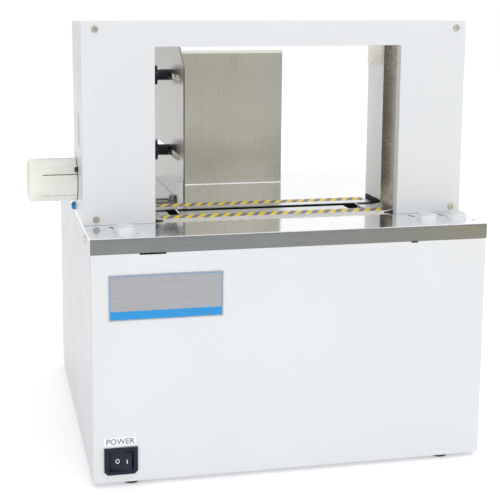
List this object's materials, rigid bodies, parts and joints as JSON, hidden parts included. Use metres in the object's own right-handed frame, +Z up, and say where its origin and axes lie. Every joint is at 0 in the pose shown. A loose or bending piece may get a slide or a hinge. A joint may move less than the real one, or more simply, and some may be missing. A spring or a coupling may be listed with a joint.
{
  "type": "tabletop arch banding machine",
  "caption": "Tabletop banding machine: sheet-metal base, steel table and a rectangular arch that wraps and seals a paper band round a stack.",
  "frame": {"origin": "middle of the bounding box's floor, on the plane that the rubber feet stand on", "axes": "+X to the operator's right, +Y from the front towards the rear, +Z up"},
  "size_m": [0.4236, 0.3534, 0.418],
  "materials": {
    "white_paint": "powder coat, fine texture, satin",
    "table_steel": "polished stainless with a brushed front flange",
    "guide_steel": "brushed stainless",
    "track_steel": "polished stainless",
    "fence_steel": "brushed stainless",
    "zinc_steel": "zinc plated",
    "black_plastic": "moulded, fine grain",
    "black_steel": "black coated sheet",
    "milky_plastic": "translucent moulding",
    "cream_plastic": "turned plastic",
    "blue_plastic": "moulded cap",
    "foot_rubber": "moulded rubber",
    "plate_silver": "printed silver plate with a blue band",
    "hazard_film": "yellow and dark diagonal stripes",
    "bronze": "sintered bronze",
    "gear_plastic": "acetal",
    "motor_metal": "coated motor shell",
    "board_green": "glass-fibre laminate",
    "cast_aluminium": "bead blasted",
    "roller_rubber": "polyurethane cover"
  },
  "bodies": {
    "machine": {"base_casing": "white_paint", "base_plate": "zinc_steel", "rubber_feet": "foot_rubber", "rear_panel": "white_paint", "table_top": "table_steel", "casing_screws": "zinc_steel", "arch_front_cover": "white_paint", "arch_shell": "white_paint", "arch_frame": "zinc_steel", "arch_cover_screws": "zinc_steel", "tape_track": "track_steel", "corner_guides": "black_plastic", "front_guide_plate": "guide_steel", "rear_guide_plate": "guide_steel", "hazard_strips": "hazard_film", "tape_gap_tray": "black_steel", "leg_end_blocks": "black_plastic", "tape_fingers": "milky_plastic", "track_corner_plate": "track_steel", "side_cap": "blue_plastic", "name_plate": "plate_silver", "switch_bezel": "black_plastic", "button_rings": "milky_plastic", "reel_spindle": "zinc_steel", "fence_clamp_screw": "zinc_steel", "mechanism_plates": "cast_aluminium", "frame_spacers": "zinc_steel", "shaft_bushes": "bronze", "slider_guide": "cast_aluminium", "gearmotor": "motor_metal", "feed_bracket": "zinc_steel", "feed_motor": "motor_metal", "fan_frame": "black_plastic", "circuit_board": "board_green", "power_supply": "cast_aluminium", "power_inlet": "black_plastic", "foot_switch_socket": "black_plastic"},
    "switch_rocker": {"switch_rocker": "black_plastic"},
    "start_button": {"start_button": "milky_plastic"},
    "feed_button": {"feed_button": "milky_plastic"},
    "reset_button": {"reset_button": "milky_plastic"},
    "reel_hub": {"reel_hub": "cream_plastic"},
    "side_fence": {"side_fence": "fence_steel"},
    "back_stop": {"back_stop": "fence_steel"},
    "upper_clamp_knob": {"upper_clamp_knob": "black_plastic"},
    "lower_clamp_knob": {"lower_clamp_knob": "black_plastic"},
    "left_gripper": {"left_gripper": "zinc_steel"},
    "cutter_press": {"cutter_press": "zinc_steel"},
    "right_gripper": {"right_gripper": "zinc_steel"},
    "cam_shaft": {"cam_shaft": "zinc_steel", "cams": "zinc_steel", "cam_gear": "gear_plastic"},
    "motor_pinion": {"motor_pinion": "bronze"},
    "heater_arm": {"heater_arm": "cast_aluminium"},
    "anvil_slide": {"anvil_slide": "guide_steel"},
    "feed_roller": {"feed_roller": "roller_rubber"},
    "pinch_roller": {"pinch_roller": "roller_rubber"},
    "dancer_arm": {"dancer_arm": "cast_aluminium"},
    "dancer_roller": {"dancer_roller": "gear_plastic"},
    "fan_rotor": {"fan_rotor": "black_plastic"}
  },
  "joints": [
    {"name": "switch_rock", "type": "hinge", "parent": "machine", "child": "switch_rocker", "pos_m": [-0.1383, -0.1713, 0.0244], "axis": [0, 0, 1], "range_deg": [0, 27.4]},
    {"name": "start_press", "type": "slide", "parent": "machine", "child": "start_button", "axis": [0, 0, -1], "range_m": [0, 0.0015], "stiffness_N_per_m": 300, "springref_m": -0.002},
    {"name": "feed_press", "type": "slide", "parent": "machine", "child": "feed_button", "axis": [0, 0, -1], "range_m": [0, 0.0015], "stiffness_N_per_m": 300, "springref_m": -0.002},
    {"name": "reset_press", "type": "slide", "parent": "machine", "child": "reset_button", "axis": [0, 0, -1], "range_m": [0, 0.0015], "stiffness_N_per_m": 300, "springref_m": -0.002},
    {"name": "hub_spin", "type": "hinge", "parent": "machine", "child": "reel_hub", "pos_m": [-0.1878, -0.0463, 0.264], "axis": [-1, 0, 0], "continuous": true},
    {"name": "fence_slide", "type": "slide", "parent": "machine", "child": "side_fence", "axis": [1, 0, 0], "range_m": [0, 0.024]},
    {"name": "back_stop_slide", "type": "slide", "parent": "side_fence", "child": "back_stop", "axis": [0, 1, 0], "range_m": [-0.068, 0.06]},
    {"name": "upper_knob_turn", "type": "hinge", "parent": "back_stop", "child": "upper_clamp_knob", "pos_m": [-0.0518, 0.0717, 0.358], "axis": [-1, 0, 0], "range_deg": [0, 360]},
    {"name": "lower_knob_turn", "type": "hinge", "parent": "back_stop", "child": "lower_clamp_knob", "pos_m": [-0.0518, 0.0717, 0.275], "axis": [-1, 0, 0], "range_deg": [0, 360]},
    {"name": "left_grip", "type": "slide", "parent": "machine", "child": "left_gripper", "axis": [0, 0, 1], "range_m": [0, 0.004]},
    {"name": "cutter_lift", "type": "slide", "parent": "machine", "child": "cutter_press", "axis": [0, 0, 1], "range_m": [0, 0.004]},
    {"name": "right_grip", "type": "slide", "parent": "machine", "child": "right_gripper", "axis": [0, 0, 1], "range_m": [0, 0.004]},
    {"name": "cam_spin", "type": "hinge", "parent": "machine", "child": "cam_shaft", "pos_m": [0.0242, -0.0783, 0.134], "axis": [1, 0, 0], "continuous": true},
    {"name": "pinion_spin", "type": "hinge", "parent": "machine", "child": "motor_pinion", "pos_m": [-0.0208, -0.0783, 0.094], "axis": [1, 0, 0], "continuous": true},
    {"name": "heater_swing", "type": "hinge", "parent": "machine", "child": "heater_arm", "pos_m": [0.0862, -0.1103, 0.222], "axis": [0, 0, 1], "range_deg": [-23, 0]},
    {"name": "anvil_slide_back", "type": "slide", "parent": "machine", "child": "anvil_slide", "axis": [0, 1, 0], "range_m": [0, 0.011]},
    {"name": "feed_roller_spin", "type": "hinge", "parent": "machine", "child": "feed_roller", "pos_m": [-0.0858, -0.0843, 0.189], "axis": [0, 1, 0], "continuous": true},
    {"name": "pinch_roller_spin", "type": "hinge", "parent": "machine", "child": "pinch_roller", "pos_m": [-0.1082, -0.0843, 0.189], "axis": [0, 1, 0], "continuous": true},
    {"name": "dancer_swing", "type": "hinge", "parent": "machine", "child": "dancer_arm", "pos_m": [-0.1038, -0.0693, 0.124], "axis": [0, 1, 0], "range_deg": [-20, 20], "stiffness_Nm_per_rad": 0.5, "springref_deg": -2.86},
    {"name": "dancer_roller_spin", "type": "hinge", "parent": "dancer_arm", "child": "dancer_roller", "pos_m": [-0.0538, -0.0863, 0.124], "axis": [0, 1, 0], "continuous": true},
    {"name": "fan_spin", "type": "hinge", "parent": "machine", "child": "fan_rotor", "pos_m": [0.0262, 0.1627, 0.066], "axis": [0, 1, 0], "continuous": true}
  ],
  "couplings": [
    {"joint": "pinion_spin", "follows": "cam_spin", "ratio": -3},
    {"joint": "pinch_roller_spin", "follows": "feed_roller_spin", "ratio": -1.75}
  ]
}
